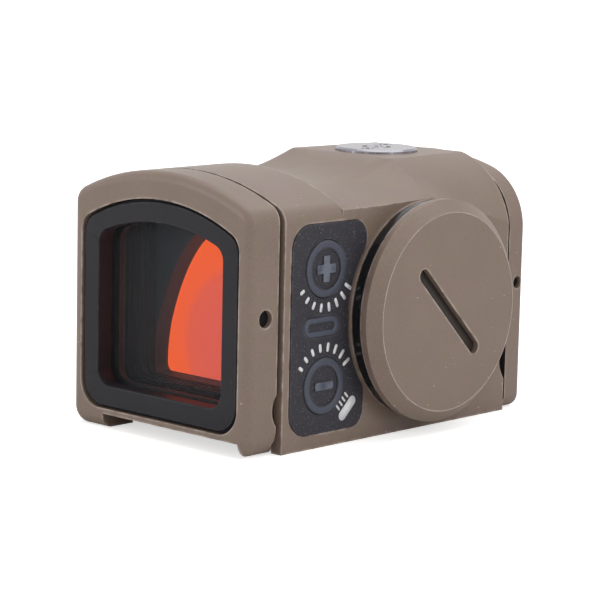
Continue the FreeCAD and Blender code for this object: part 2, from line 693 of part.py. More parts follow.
def battery_cap():
    solid = rod_x(CAP_RIM_R, CAP_RIM_X, CAP_BEVEL_X, CAP_Y, CAP_Z)
    bevel = Part.makeCone(CAP_RIM_R, CAP_FACE_R, CAP_FACE_X - CAP_BEVEL_X,
                          Vector(CAP_BEVEL_X, CAP_Y, CAP_Z), Vector(1, 0, 0))
    solid = solid.fuse(bevel)
    solid = solid.fuse(rod_x(SPIGOT_R, SPIGOT_END_X, CAP_RIM_X, CAP_Y, CAP_Z)).removeSplitter()
    solid = solid.cut(rod_x(SPIGOT_R - SPIGOT_WALL, SPIGOT_END_X - 1, CAP_RIM_X, CAP_Y, CAP_Z))
    slot = obround_x(SLOT_L, SLOT_W, CAP_FACE_X - SLOT_D, CAP_FACE_X + 1, CAP_Y, CAP_Z)
    slot.rotate(Vector(0, CAP_Y, CAP_Z), Vector(1, 0, 0), -SLOT_TURN)
    return solid.cut(slot)


def battery_cap_gasket():
    solid = rod_x(GASKET_R, BOSS_X + MOVE, CAP_RIM_X - MOVE, CAP_Y, CAP_Z)
    rims = [edge for edge in solid.Edges if edge.Closed and edge.Length > 1]
    solid = solid.makeFillet(0.35, rims)
    return solid.cut(rod_x(SPIGOT_R + 0.15, BOSS_X - 1, CAP_RIM_X + 1, CAP_Y, CAP_Z))


# ---- keypad -------------------------------------------------------------
PANEL_FACE_X = BODY_HALF_W + PANEL_PROUD
PANEL_BACK_X = PANEL_FACE_X - PANEL_T
BOARD_X0 = POCKET_FLOOR_X - BOARD_T


def keypad_panel():
    solid = panel_outline(0, PANEL_BACK_X, PANEL_FACE_X)
    for z in (PLUS_Z, MINUS_Z):
        solid = solid.cut(rod_x(BUTTON_R + 2 * RUN, PANEL_BACK_X - 1, FAR, BUTTON_Y, z))
    status = obround_x(STATUS_L + 2 * SEAT, STATUS_H + 2 * SEAT, PANEL_BACK_X - 1, FAR, STATUS_Y, STATUS_Z)
    return solid.cut(status)


def button(z, is_plus):
    """Round key with a raised ring and a raised mark, and a flange behind the panel."""
    face = PANEL_FACE_X
    flange_x = PANEL_BACK_X - MOVE
    solid = rod_x(BUTTON_R, flange_x - 0.1, face, BUTTON_Y, z)
    solid = solid.fuse(rod_x(BUTTON_R + BUTTON_FLANGE, flange_x - BUTTON_FLANGE_T, flange_x, BUTTON_Y, z))
    ring = rod_x(BUTTON_R, face - 0.1, face + BUTTON_RAISE, BUTTON_Y, z)
    ring = ring.cut(rod_x(BUTTON_R - BUTTON_RING_W, face - 1, face + 1, BUTTON_Y, z))
    marks = [(GLYPH_L / 2, GLYPH_W / 2)]
    if is_plus:
        marks.append((GLYPH_W / 2, GLYPH_L / 2))
    pieces = [ring]
    for half_y, half_z in marks:
        mark = box(face - 0.1, face + BUTTON_RAISE, BUTTON_Y - half_y, BUTTON_Y + half_y,
                   z - half_z, z + half_z)
        pieces.append(mark)
    return solid.fuse(pieces).removeSplitter()


def status_window():
    return obround_x(STATUS_L, STATUS_H, PANEL_BACK_X, PANEL_FACE_X, STATUS_Y, STATUS_Z)


def button_board():
    return box(BOARD_X0, POCKET_FLOOR_X, BOARD_FRONT, BOARD_BACK, BOARD_LOW, BOARD_HIGH)


def switch_dome(z):
    """Flat tactile dome under a key."""
    return Part.makeCone(DOME_R, DOME_R * 0.5, DOME_T, Vector(POCKET_FLOOR_X, BUTTON_Y, z),
                         Vector(1, 0, 0))


# ---- write every node ---------------------------------------------------
save("main_housing", main_housing())
save("front_bezel", front_bezel())
save("rear_bezel", rear_bezel())
for end, outer_y, seam_y in (("front", FRONT_Y, HOUSING_FRONT), ("rear", REAR_Y, HOUSING_REAR)):
    frame, glass, seal = window_set(outer_y, seam_y)
    save(end + "_window_frame", frame)
    save(end + "_window", glass)
    save(end + "_window_seal", seal)
save("tunnel_liner", tunnel_liner())
save("lens_cell", lens_cell())
save("reflector_lens", reflector_lens())
save("lens_retainer", lens_retainer())
save("emitter_frame", emitter_frame())
save("emitter_holder", emitter_holder())
save("emitter_led", emitter_led())
save("windage_slider", windage_slider())
save("slider_guide", slider_guide())
save("rear_baffle", rear_baffle())
save("elevation_screw", elevation_screw())
save("elevation_seal", elevation_seal())
save("windage_screw", windage_screw())
save("battery_cell", battery_cell())
save("battery_contact", battery_contact())
save("contact_spring", contact_spring())
save("battery_cap", battery_cap())
save("battery_cap_gasket", battery_cap_gasket())
save("keypad_panel", keypad_panel())
save("increase_button", button(PLUS_Z, True))
save("decrease_button", button(MINUS_Z, False))
save("status_window", status_window())
save("button_board", button_board())
save("increase_dome", switch_dome(PLUS_Z))
save("decrease_dome", switch_dome(MINUS_Z))
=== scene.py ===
# %% [markdown]
# # An enclosed reflex sight
# The object is a small box that holds a tilted lens and a light-emitting diode. It has two arched windows,
# a round battery cap and rubber keys on one side, and an adjuster dial on top and on the far side.
# A imported CAD model gives every hard part at its real size. This file gives those parts their finishes and
# adds the thin things that CAD leaves out: key rims and marks, print, side screws, a painted highlight on the
# cap's edge and painted shade in its slot.

# %% Load the frame
import json
import math

import bmesh
import bpy
from mathutils import Matrix, Vector


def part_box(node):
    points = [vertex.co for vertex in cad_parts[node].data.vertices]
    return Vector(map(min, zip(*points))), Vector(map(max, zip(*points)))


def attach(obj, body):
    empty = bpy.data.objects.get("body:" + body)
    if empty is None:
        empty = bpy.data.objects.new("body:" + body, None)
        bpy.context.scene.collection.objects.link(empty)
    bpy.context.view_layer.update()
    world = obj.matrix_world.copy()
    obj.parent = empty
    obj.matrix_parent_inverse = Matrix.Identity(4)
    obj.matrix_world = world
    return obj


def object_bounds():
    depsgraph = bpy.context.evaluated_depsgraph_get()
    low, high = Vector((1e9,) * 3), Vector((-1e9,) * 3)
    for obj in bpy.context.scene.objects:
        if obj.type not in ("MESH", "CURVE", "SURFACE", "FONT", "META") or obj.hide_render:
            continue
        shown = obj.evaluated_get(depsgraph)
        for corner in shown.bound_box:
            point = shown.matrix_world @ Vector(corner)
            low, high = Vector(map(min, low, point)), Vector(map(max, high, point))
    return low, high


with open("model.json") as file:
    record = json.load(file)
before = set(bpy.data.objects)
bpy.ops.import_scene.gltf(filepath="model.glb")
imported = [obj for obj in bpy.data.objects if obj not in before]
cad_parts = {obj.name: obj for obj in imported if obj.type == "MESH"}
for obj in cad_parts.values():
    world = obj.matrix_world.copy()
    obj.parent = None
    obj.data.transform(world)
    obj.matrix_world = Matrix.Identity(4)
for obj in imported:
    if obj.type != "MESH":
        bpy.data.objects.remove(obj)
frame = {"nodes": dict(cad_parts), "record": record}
nodes = frame["nodes"]
cad_low, cad_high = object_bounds()
MM = 0.001
print("CAD box in mm:", [round((b - a) / MM, 2) for a, b in zip(cad_low, cad_high)])

# %% [markdown]
# ## The camera
# A product photographer stands well back with a long lens, so that near and far edges stay almost parallel.
# The camera could be placed by hand, but a distance and two angles are easier to read and to change.
# A small roll is kept, because the sight stands a little turned in the frame.

# %% Camera
AZIMUTH, ELEVATION, ROLL = math.radians(43.41), math.radians(9.043), math.radians(1.273)
DISTANCE, LENS, FILM_WIDTH = 0.28896, 146.66, 36.0
NEAREST_SEEN = 10 * MM
AIM = Vector((0.0, 0.0, 0.01334))
PAN_RIGHT, PAN_UP = -0.333 * MM, -1.376 * MM

back = Vector((math.sin(AZIMUTH) * math.cos(ELEVATION), -math.cos(AZIMUTH) * math.cos(ELEVATION),
               math.sin(ELEVATION)))
level = Vector((math.cos(AZIMUTH), math.sin(AZIMUTH), 0.0))
upright = back.cross(level)
across = level * math.cos(ROLL) + upright * math.sin(ROLL)
upward = upright * math.cos(ROLL) - level * math.sin(ROLL)

camera_data = bpy.data.cameras.new("camera")
camera_data.lens = LENS
camera_data.sensor_width = FILM_WIDTH
camera_data.clip_start = NEAREST_SEEN
camera = bpy.data.objects.new("camera", camera_data)
bpy.context.scene.collection.objects.link(camera)
turn = Matrix((across, upward, back)).transposed().to_4x4()
stand = AIM + back * DISTANCE + across * PAN_RIGHT + upward * PAN_UP
camera.matrix_world = Matrix.Translation(stand) @ turn
bpy.context.scene.camera = camera
print("camera stands at, in mm:", [round(value / MM, 1) for value in stand])

# %% [markdown]
# ## Studio light
# A matte coat shows its colour best under wide soft light, so the world is an even pale dome and three large
# area lamps shape it. Only camera, glossy and clear rays see the dome as white, which keeps the backdrop white
# without putting more light on the object.

# %% World
DOME_LIGHT, BACKDROP_WHITE = 0.50, 1.0
world = bpy.data.worlds.new("studio")
world.use_nodes = True
bpy.context.scene.world = world
world_nodes, world_links = world.node_tree.nodes, world.node_tree.links
world_nodes.clear()
light_path = world_nodes.new("ShaderNodeLightPath")
soft_sky = world_nodes.new("ShaderNodeBackground")
soft_sky.inputs["Color"].default_value = (1.0, 0.99, 0.98, 1.0)
soft_sky.inputs["Strength"].default_value = DOME_LIGHT
white_sky = world_nodes.new("ShaderNodeBackground")
white_sky.inputs["Color"].default_value = (1.0, 1.0, 1.0, 1.0)
white_sky.inputs["Strength"].default_value = BACKDROP_WHITE
choose_sky = world_nodes.new("ShaderNodeMixShader")
seen = world_nodes.new("ShaderNodeMath")
seen.operation = "MAXIMUM"
world_out = world_nodes.new("ShaderNodeOutputWorld")
seen_clear = world_nodes.new("ShaderNodeMath")
seen_clear.operation = "MAXIMUM"
world_links.new(light_path.outputs["Is Camera Ray"], seen.inputs[0])
world_links.new(light_path.outputs["Is Glossy Ray"], seen.inputs[1])
world_links.new(seen.outputs[0], seen_clear.inputs[0])
world_links.new(light_path.outputs["Is Transmission Ray"], seen_clear.inputs[1])
world_links.new(seen_clear.outputs[0], choose_sky.inputs[0])
world_links.new(soft_sky.outputs[0], choose_sky.inputs[1])
world_links.new(white_sky.outputs[0], choose_sky.inputs[2])
world_links.new(choose_sky.outputs[0], world_out.inputs[0])
print("world light:", DOME_LIGHT)


# %% Lamps
def softbox(name, place, size, power):
    """A square area lamp that points at the sight; size in metres, power in watts."""
    data = bpy.data.lights.new(name, "AREA")
    data.size = size
    data.energy = power
    lamp = bpy.data.objects.new(name, data)
    bpy.context.scene.collection.objects.link(lamp)
    lamp.location = place
    lamp.rotation_euler = (AIM - Vector(place)).to_track_quat("-Z", "Y").to_euler()
    print(name, "gives", power, "W")


softbox("lamp_top", (0.02, 0.12, 0.55), 0.60, 1.6)
softbox("lamp_front", (-0.25, -0.50, 0.22), 0.35, 0.8)
softbox("lamp_side", (0.55, 0.06, 0.25), 0.35, 0.75)

# %% [markdown]
# ## The floor
# The floor is a plain pale sheet under the feet. It is left almost white, and some extra brightness is shown
# only to the camera, so the contact shadow stays but the sheet melts into the backdrop.

# %% Floor
FLOOR_HALF = 1.5
FLOOR_GAP = 0.02 * MM
FLOOR_LIFT = 0.60
FLOOR_Z = cad_low[2] - FLOOR_GAP


def new_material(name):
    """A new material, its node tree and its Principled shader."""
    material = bpy.data.materials.new(name)
    material.use_nodes = True
    tree = material.node_tree
    shader = tree.nodes["Principled BSDF"]
    return material, tree, shader


floor_material, floor_tree, floor_shader = new_material("floor_sheet")
floor_shader.inputs["Base Color"].default_value = (0.92, 0.92, 0.915, 1.0)
floor_shader.inputs["Roughness"].default_value = 0.9
floor_shader.inputs["Specular IOR Level"].default_value = 0.1
floor_shader.inputs["Emission Color"].default_value = (1.0, 1.0, 1.0, 1.0)
floor_path = floor_tree.nodes.new("ShaderNodeLightPath")
floor_lift = floor_tree.nodes.new("ShaderNodeMath")
floor_lift.operation = "MULTIPLY"
floor_lift.inputs[1].default_value = FLOOR_LIFT
floor_tree.links.new(floor_path.outputs["Is Camera Ray"], floor_lift.inputs[0])
floor_tree.links.new(floor_lift.outputs[0], floor_shader.inputs["Emission Strength"])

floor_mesh = bpy.data.meshes.new("floor")
corners = [(-FLOOR_HALF, -FLOOR_HALF, FLOOR_Z), (FLOOR_HALF, -FLOOR_HALF, FLOOR_Z),
           (FLOOR_HALF, FLOOR_HALF, FLOOR_Z), (-FLOOR_HALF, FLOOR_HALF, FLOOR_Z)]
floor_mesh.from_pydata(corners, [], [(0, 1, 2, 3)])
floor_mesh.materials.append(floor_material)
floor = bpy.data.objects.new("floor", floor_mesh)
bpy.context.scene.collection.objects.link(floor)
print("floor at, in mm:", round(FLOOR_Z / MM, 3))

bpy.context.scene.view_settings.view_transform = "Standard"

# %% [markdown]
# ## Shared effects
# Several finishes need the same effects: cloudy colour, fine grain, pale specks and worn corners. Each effect
# is a node group, built once, with sockets for the values that change from one finish to the next.
# A group could hold the whole shader, but then nothing outside could adjust it, so groups only make colours,
# masks and heights.


# %% Group helpers
def new_group(name, inputs, outputs):
    """An empty shader group. inputs and outputs are (socket name, socket kind, default)."""
    tree = bpy.data.node_groups.new(name, "ShaderNodeTree")
    for title, kind, default in inputs:
        socket = tree.interface.new_socket(name=title, in_out="INPUT", socket_type="NodeSocket" + kind)
        socket.default_value = default
    for title, kind in outputs:
        tree.interface.new_socket(name=title, in_out="OUTPUT", socket_type="NodeSocket" + kind)
    return tree, tree.nodes.new("NodeGroupInput"), tree.nodes.new("NodeGroupOutput")


def add_math(tree, operation, first, second, clamp=False):
    """A Math node; each operand is a socket or a number."""
    node = tree.nodes.new("ShaderNodeMath")
    node.operation = operation
    node.use_clamp = clamp
    for slot_index, operand in enumerate((first, second)):
        if isinstance(operand, (int, float)):
            node.inputs[slot_index].default_value = operand
        else:
            tree.links.new(operand, node.inputs[slot_index])
    return node.outputs[0]


def add_noise(tree, coordinate, scale, detail=2.0):
    """Noise over object space, from 0 to 1 around 0.5."""
    node = tree.nodes.new("ShaderNodeTexNoise")
    node.inputs["Detail"].default_value = detail
    tree.links.new(coordinate, node.inputs["Vector"])
    if isinstance(scale, (int, float)):
        node.inputs["Scale"].default_value = scale
    else:
        tree.links.new(scale, node.inputs["Scale"])
    return node.outputs["Fac"]


def add_ramp(tree, value, low, high):
    """0 below low, 1 above high, straight between them."""
    node = tree.nodes.new("ShaderNodeMapRange")
    node.inputs["From Min"].default_value = low
    node.inputs["From Max"].default_value = high
    tree.links.new(value, node.inputs["Value"])
    return node.outputs["Result"]


def add_mix(tree, amount, first, second):
    """Colour mix; each colour is a socket or an RGB triple."""
    node = tree.nodes.new("ShaderNodeMix")
    node.data_type = "RGBA"
    tree.links.new(amount, node.inputs[0])
    for socket, colour in ((node.inputs[6], first), (node.inputs[7], second)):
        if isinstance(colour, tuple):
            socket.default_value = (*colour, 1.0)
        else:
            tree.links.new(colour, socket)
    return node.outputs[2]


# %% Cloud and grain
# Two tones drift into each other over a few millimetres, on top of the clouds and the grain.
DRIFT_SCALE, DRIFT_START, DRIFT_END = 420.0, 0.38, 0.62
cloud_group, cloud_in, cloud_out = new_group(
    "cloudy_grain",
    [("Color", "Color", (0.5, 0.5, 0.5, 1.0)), ("Drift", "Color", (0.5, 0.5, 0.5, 1.0)),
     ("Cloud Scale", "Float", 150.0), ("Cloud", "Float", 0.12),
     ("Grain Scale", "Float", 4000.0), ("Grain", "Float", 0.1)],
    [("Color", "Color"), ("Height", "Float")])
cloud_place = cloud_group.nodes.new("ShaderNodeTexCoord").outputs["Object"]
cloud_noise = add_noise(cloud_group, cloud_place, cloud_in.outputs["Cloud Scale"], detail=4.0)
grain_noise = add_noise(cloud_group, cloud_place, cloud_in.outputs["Grain Scale"], detail=2.0)
cloud_part = add_math(cloud_group, "MULTIPLY", add_math(cloud_group, "SUBTRACT", cloud_noise, 0.5),
                      cloud_in.outputs["Cloud"])
grain_part = add_math(cloud_group, "MULTIPLY", add_math(cloud_group, "SUBTRACT", grain_noise, 0.5),
                      cloud_in.outputs["Grain"])
cloud_gain = add_math(cloud_group, "ADD", add_math(cloud_group, "ADD", cloud_part, grain_part), 1.0)
cloud_scale_colour = cloud_group.nodes.new("ShaderNodeVectorMath")
cloud_scale_colour.operation = "SCALE"
drift_noise = add_noise(cloud_group, cloud_place, DRIFT_SCALE, detail=3.0)
cloud_slow = add_ramp(cloud_group, drift_noise, DRIFT_START, DRIFT_END)
cloud_hue = add_mix(cloud_group, cloud_slow, cloud_in.outputs["Color"], cloud_in.outputs["Drift"])
cloud_group.links.new(cloud_hue, cloud_scale_colour.inputs[0])
cloud_group.links.new(cloud_gain, cloud_scale_colour.inputs["Scale"])
cloud_group.links.new(cloud_scale_colour.outputs[0], cloud_out.inputs["Color"])
cloud_group.links.new(grain_noise, cloud_out.inputs["Height"])

# %% Specks
# A speck is the middle of a Voronoi cell, and only some cells carry one.
speck_group, speck_in, speck_out = new_group(
    "fine_specks",
    [("Scale", "Float", 900.0), ("Size", "Float", 0.08), ("Share", "Float", 0.2)],
    [("Mask", "Float")])
speck_place = speck_group.nodes.new("ShaderNodeTexCoord").outputs["Object"]
speck_cells = speck_group.nodes.new("ShaderNodeTexVoronoi")
speck_group.links.new(speck_place, speck_cells.inputs["Vector"])
speck_group.links.new(speck_in.outputs["Scale"], speck_cells.inputs["Scale"])
speck_split = speck_group.nodes.new("ShaderNodeSeparateColor")
speck_group.links.new(speck_cells.outputs["Color"], speck_split.inputs[0])
speck_chosen = add_math(speck_group, "LESS_THAN", speck_split.outputs[0], speck_in.outputs["Share"])
speck_size = add_math(speck_group, "MULTIPLY", speck_split.outputs[1], speck_in.outputs["Size"])
speck_near = add_math(speck_group, "LESS_THAN", speck_cells.outputs["Distance"], speck_size)
speck_group.links.new(add_math(speck_group, "MULTIPLY", speck_chosen, speck_near), speck_out.inputs["Mask"])

# %% Painted groove shade
# A groove that runs round the object is found by its place along the object, and this mask marks where shade is
# painted into it.
groove_shade_group, band_in, band_out = new_group("painted_groove_shade", [("Low", "Float", 0.0), ("High", "Float", 0.001)],
                                          [("Mask", "Float")])
band_place = groove_shade_group.nodes.new("ShaderNodeTexCoord").outputs["Object"]
band_split = groove_shade_group.nodes.new("ShaderNodeSeparateXYZ")
groove_shade_group.links.new(band_place, band_split.inputs[0])
band_above = add_math(groove_shade_group, "GREATER_THAN", band_split.outputs["Y"], band_in.outputs["Low"])
band_below = add_math(groove_shade_group, "LESS_THAN", band_split.outputs["Y"], band_in.outputs["High"])
groove_shade_group.links.new(add_math(groove_shade_group, "MULTIPLY", band_above, band_below), band_out.inputs["Mask"])

# %% Worn and highlit corners
# Rays sent into the material from near a corner leave it again at once. That marks outside corners only. The
# pale colour there stands for wear and is also a painted highlight on the corners.
WEAR_START, WEAR_END = 0.10, 0.55
PATCH_START, PATCH_END = 0.34, 0.62
corner_wear_highlight_group, wear_in, wear_out = new_group(
    "worn_and_highlit_corners",
    [("Reach", "Float", 0.0003), ("Amount", "Float", 0.6), ("Breakup", "Float", 700.0)],
    [("Mask", "Float")])
wear_place = corner_wear_highlight_group.nodes.new("ShaderNodeTexCoord").outputs["Object"]
wear_probe = corner_wear_highlight_group.nodes.new("ShaderNodeAmbientOcclusion")
wear_probe.inside = True
wear_probe.only_local = True
wear_probe.samples = 8
corner_wear_highlight_group.links.new(wear_in.outputs["Reach"], wear_probe.inputs["Distance"])
wear_open = add_math(corner_wear_highlight_group, "SUBTRACT", 1.0, wear_probe.outputs["AO"])
wear_edge = add_ramp(corner_wear_highlight_group, wear_open, WEAR_START, WEAR_END)
wear_noise = add_noise(corner_wear_highlight_group, wear_place, wear_in.outputs["Breakup"], detail=3.0)
wear_patch = add_ramp(corner_wear_highlight_group, wear_noise, PATCH_START, PATCH_END)
corner_wear_highlight_mask = add_math(corner_wear_highlight_group, "MULTIPLY", add_math(corner_wear_highlight_group, "MULTIPLY", wear_edge, wear_patch),
                     wear_in.outputs["Amount"], clamp=True)
corner_wear_highlight_group.links.new(corner_wear_highlight_mask, wear_out.inputs["Mask"])
print("shared effects:", [group.name for group in bpy.data.node_groups])


# %% Finish helper
# The near black colour of the painted shade in the seam grooves.
GROOVE_SHADE = (0.020, 0.017, 0.016)
BUMP_DEPTH = 0.02 * MM
ROUGH_SWING = 0.25


def place_group(tree, group, **values):
    """Puts a group in a material; a value names its socket with _ for a space."""
    node = tree.nodes.new("ShaderNodeGroup")
    node.node_tree = group
    for title, value in values.items():
        socket = node.inputs[title.replace("_", " ").title()]
        socket.default_value = (*value, 1.0) if isinstance(value, tuple) else value
    return node


def add_bump(tree, shader, height, strength, depth):
    """Turns a height socket into a Normal for the shader; depth is in metres."""
    bump = tree.nodes.new("ShaderNodeBump")
    bump.inputs["Strength"].default_value = strength
    bump.inputs["Distance"].default_value = depth
    tree.links.new(height, bump.inputs["Height"])
    tree.links.new(bump.outputs["Normal"], shader.inputs["Normal"])


def coated_finish(name, colour, pale, rough, cloud, grain, wear_and_highlight, specks, bump=0.25, cloud_scale=150.0,
                  grain_scale=4000.0, metallic=0.0, specular=0.5, speck_scale=700.0, speck_size=0.10,
                  speck_share=0.25, reach=0.3 * MM, drift=None, bands=()):
    """A hard or rubber coat: cloudy colour, grain, specks, paler corners that are partly wear and partly
    painted highlight, and painted shade in grooves.
    """
    material, tree, shader = new_material(name)
    coat = place_group(tree, cloud_group, color=colour, drift=drift or colour, cloud_scale=cloud_scale,
                       cloud=cloud, grain_scale=grain_scale, grain=grain)
    worn = place_group(tree, corner_wear_highlight_group, amount=wear_and_highlight, reach=reach)
    dots = place_group(tree, speck_group, scale=speck_scale, size=speck_size, share=speck_share)
    dot_mask = add_math(tree, "MULTIPLY", dots.outputs["Mask"], specks)
    mask = add_math(tree, "MAXIMUM", worn.outputs["Mask"], dot_mask)
    shown = add_mix(tree, mask, coat.outputs["Color"], pale)
    # Each band paints shade into a groove.
    for band_low, band_high in bands:
        band = place_group(tree, groove_shade_group, low=band_low, high=band_high)
        shown = add_mix(tree, band.outputs["Mask"], shown, GROOVE_SHADE)
    tree.links.new(shown, shader.inputs["Base Color"])
    grain_swing = add_math(tree, "SUBTRACT", coat.outputs["Height"], 0.5)
    rougher = add_math(tree, "MULTIPLY", grain_swing, ROUGH_SWING)
    tree.links.new(add_math(tree, "ADD", rougher, rough), shader.inputs["Roughness"])
    shader.inputs["Metallic"].default_value = metallic
    shader.inputs["Specular IOR Level"].default_value = specular
    add_bump(tree, shader, coat.outputs["Height"], bump, BUMP_DEPTH)
    print("finish:", name)
    return material


# %% [markdown]
# ## The body coat
# The housing, both bezels and the cap share one hard brown coat. It is matte, faintly cloudy, with a fine
# grain. Handling has polished its corners to a paler tone and left tiny pale chips, and the pale corners also
# stand for a painted highlight where the corners catch the light. The two grooves where the bezels meet the
# housing are painted with shade: a dark band in the same finish.

# %% Body coat
BROWN = (0.212, 0.158, 0.117)
ROSE_BROWN = (0.216, 0.152, 0.126)
PALE_BROWN = (0.56, 0.46, 0.41)
SEAM_WIDTH, SEAM_EDGE = 0.45 * MM, 0.01 * MM
front_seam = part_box("front_bezel")[1].y
rear_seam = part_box("rear_bezel")[0].y
# The two bands paint shade into the grooves where the bezels meet the housing.
seam_shade_bands = ((front_seam - SEAM_WIDTH - SEAM_EDGE, front_seam - SEAM_EDGE),
              (rear_seam + SEAM_EDGE, rear_seam + SEAM_WIDTH + SEAM_EDGE))
# The pale corners of this coat are partly wear and partly painted highlight.
body_coat = coated_finish("body_coat", BROWN, PALE_BROWN, 0.42, cloud=0.22, grain=0.34, wear_and_highlight=0.95,
                          specks=0.7, bump=0.4, reach=0.36 * MM, drift=ROSE_BROWN, speck_scale=900.0,
                          bands=seam_shade_bands)

# %% [markdown]
# ## Black metal, rubber and plastic
# The window frames are satin black, the tunnel is flat black, and the gasket is black but glossy. They are
# the same recipe with other numbers: what sets them apart is mostly how rough they are. The adjuster dials are
# smooth anodised metal, and the painted highlight on the cap's edge and the painted shade in its slot use the
# recipe too.

# %% Black finishes
frame_black = coated_finish("frame_black", (0.027, 0.026, 0.031), (0.16, 0.16, 0.17), 0.42, cloud=0.3,
                            grain=0.25, wear_and_highlight=0.5, specks=0.2, specular=0.15)
cell_black = coated_finish("cell_black", (0.034, 0.035, 0.042), (0.08, 0.08, 0.09), 0.4, cloud=0.3,
                           grain=0.2, wear_and_highlight=0.0, specks=0.0)
# Painted shade for the bottom of the cap's coin slot.
painted_slot_shade = coated_finish("painted_slot_shade", (0.035, 0.026, 0.021), (0.1, 0.08, 0.07), 0.7, cloud=0.3, grain=0.3,
                          wear_and_highlight=0.0, specks=0.0)
# A painted highlight for the corner of the cap's face.
painted_edge_highlight = coated_finish("painted_edge_highlight", (0.40, 0.33, 0.29), (0.6, 0.55, 0.5), 0.35, cloud=1.2, grain=0.5,
                          wear_and_highlight=0.0, specks=0.0, cloud_scale=500.0)
tunnel_black = coated_finish("tunnel_black", (0.010, 0.0095, 0.0108), (0.03, 0.03, 0.03), 0.5, cloud=0.4,
                             grain=0.3, wear_and_highlight=0.0, specks=0.0, specular=0.06)
gasket_rubber = coated_finish("gasket_rubber", (0.010, 0.010, 0.011), (0.05, 0.05, 0.05), 0.16, cloud=0.2,
                              grain=0.1, wear_and_highlight=0.1, specks=0.1, bump=0.05)
seal_rubber = coated_finish("seal_rubber", (0.014, 0.014, 0.015), (0.05, 0.05, 0.05), 0.6, cloud=0.2,
                            grain=0.3, wear_and_highlight=0.0, specks=0.0)
dark_plastic = coated_finish("dark_plastic", (0.02, 0.02, 0.02), (0.08, 0.08, 0.08), 0.5, cloud=0.2,
                             grain=0.2, wear_and_highlight=0.3, specks=0.1)
dial_black = coated_finish("dial_black", (0.30, 0.29, 0.32), (0.6, 0.6, 0.62), 0.24, cloud=0.15, grain=0.1,
                           wear_and_highlight=0.2, specks=0.1, bump=0.08, metallic=0.85)

# %% [markdown]
# ## The keypad
# The keypad is a sheet of charcoal rubber with a fine sparkle. The rims and marks of the keys are moulded from
# a bluer rubber, so they get a finish of their own, and so does the pale print on the sheet.

# %% Keypad finishes
keypad_rubber = coated_finish("keypad_rubber", (0.029, 0.027, 0.034), (0.20, 0.20, 0.23), 0.62, cloud=0.25,
                              grain=0.9, wear_and_highlight=0.3, specks=0.6, bump=0.7, grain_scale=5200.0,
                              specular=0.35, speck_scale=5600.0, speck_size=0.36, speck_share=0.40)
key_rubber = coated_finish("key_rubber", (0.050, 0.058, 0.086), (0.22, 0.25, 0.31), 0.5, cloud=0.3,
                           grain=0.6, wear_and_highlight=0.5, specks=0.35, bump=0.4, speck_scale=2600.0, speck_size=0.3)
print_white = coated_finish("print_white", (0.78, 0.78, 0.80), (0.9, 0.9, 0.9), 0.5, cloud=0.08, grain=0.12,
                            wear_and_highlight=0.0, specks=0.0)

# %% [markdown]
# ## Parts inside
# The cell, the contacts and the moving carriage are bare metal. Brushed metal could be painted with stripes,
# but so little of it shows that a faint grain is enough. The circuit board and the red diode are plastics in
# the same recipe.

# %% Inside parts
bare_aluminium = coated_finish("bare_aluminium", (0.32, 0.32, 0.34), (0.6, 0.6, 0.6), 0.35, cloud=0.15,
                               grain=0.2, wear_and_highlight=0.2, specks=0.0, metallic=1.0)
cell_steel = coated_finish("cell_steel", (0.62, 0.61, 0.60), (0.8, 0.8, 0.8), 0.28, cloud=0.1, grain=0.15,
                           wear_and_highlight=0.1, specks=0.0, metallic=1.0)
contact_brass = coated_finish("contact_brass", (0.72, 0.55, 0.26), (0.9, 0.8, 0.5), 0.3, cloud=0.15,
                              grain=0.1, wear_and_highlight=0.1, specks=0.0, metallic=1.0)
board_green = coated_finish("board_plastic", (0.015, 0.085, 0.035), (0.2, 0.3, 0.2), 0.4, cloud=0.3,
                            grain=0.2, wear_and_highlight=0.0, specks=0.1)
led_plastic = coated_finish("led_plastic", (0.55, 0.03, 0.02), (0.8, 0.3, 0.3), 0.15, cloud=0.1, grain=0.0,
                            wear_and_highlight=0.0, specks=0.0, bump=0.0)

# %% [markdown]
# ## Glass
# The outer windows are flat and coated, so they are nearly invisible. The tilted lens behind carries a mirror
# coat that throws orange light back out of the tunnel and lets the rest through. A true thin-film coat would
# need a spectral renderer, so a dark base with a glow whose colour drifts over the surface paints that orange
# reflection in.

# %% Glass finishes
clear_glass, clear_tree, clear_shader = new_material("clear_glass")
clear_shader.inputs["Base Color"].default_value = (0.20, 0.22, 0.24, 1.0)
clear_shader.inputs["Roughness"].default_value = 0.03
clear_shader.inputs["Alpha"].default_value = 0.06
print("finish: clear_glass")

# %% Colour of the painted reflection
# Broad rings round a point low in the lens take the painted reflection's colour from cool in the middle to warm
# outside.
RING_X, RING_Z = 3.0 * MM, 7.5 * MM
BAND_OUTER, BAND_INNER, BAND_SHARE = 10.2 * MM, 9.4 * MM, 0.45
WIDE_OUTER, WIDE_INNER, WIDE_SHARE = 14.0 * MM, 6.0 * MM, 0.55
lens_group, lens_in, lens_out = new_group(
    "painted_coat_reflection", [("Warm", "Color", (1.0, 0.11, 0.02, 1.0)), ("Cool", "Color", (0.75, 0.12, 0.08, 1.0))],
    [("Color", "Color")])
lens_place = lens_group.nodes.new("ShaderNodeTexCoord").outputs["Object"]
lens_split = lens_group.nodes.new("ShaderNodeSeparateXYZ")
lens_group.links.new(lens_place, lens_split.inputs[0])
lens_dx = add_math(lens_group, "SUBTRACT", lens_split.outputs["X"], RING_X)
lens_dz = add_math(lens_group, "SUBTRACT", lens_split.outputs["Z"], RING_Z)
lens_square = add_math(lens_group, "ADD", add_math(lens_group, "MULTIPLY", lens_dx, lens_dx),
                       add_math(lens_group, "MULTIPLY", lens_dz, lens_dz))
lens_far = add_math(lens_group, "SQRT", lens_square, 0.0)
lens_band = add_ramp(lens_group, lens_far, BAND_OUTER, BAND_INNER)
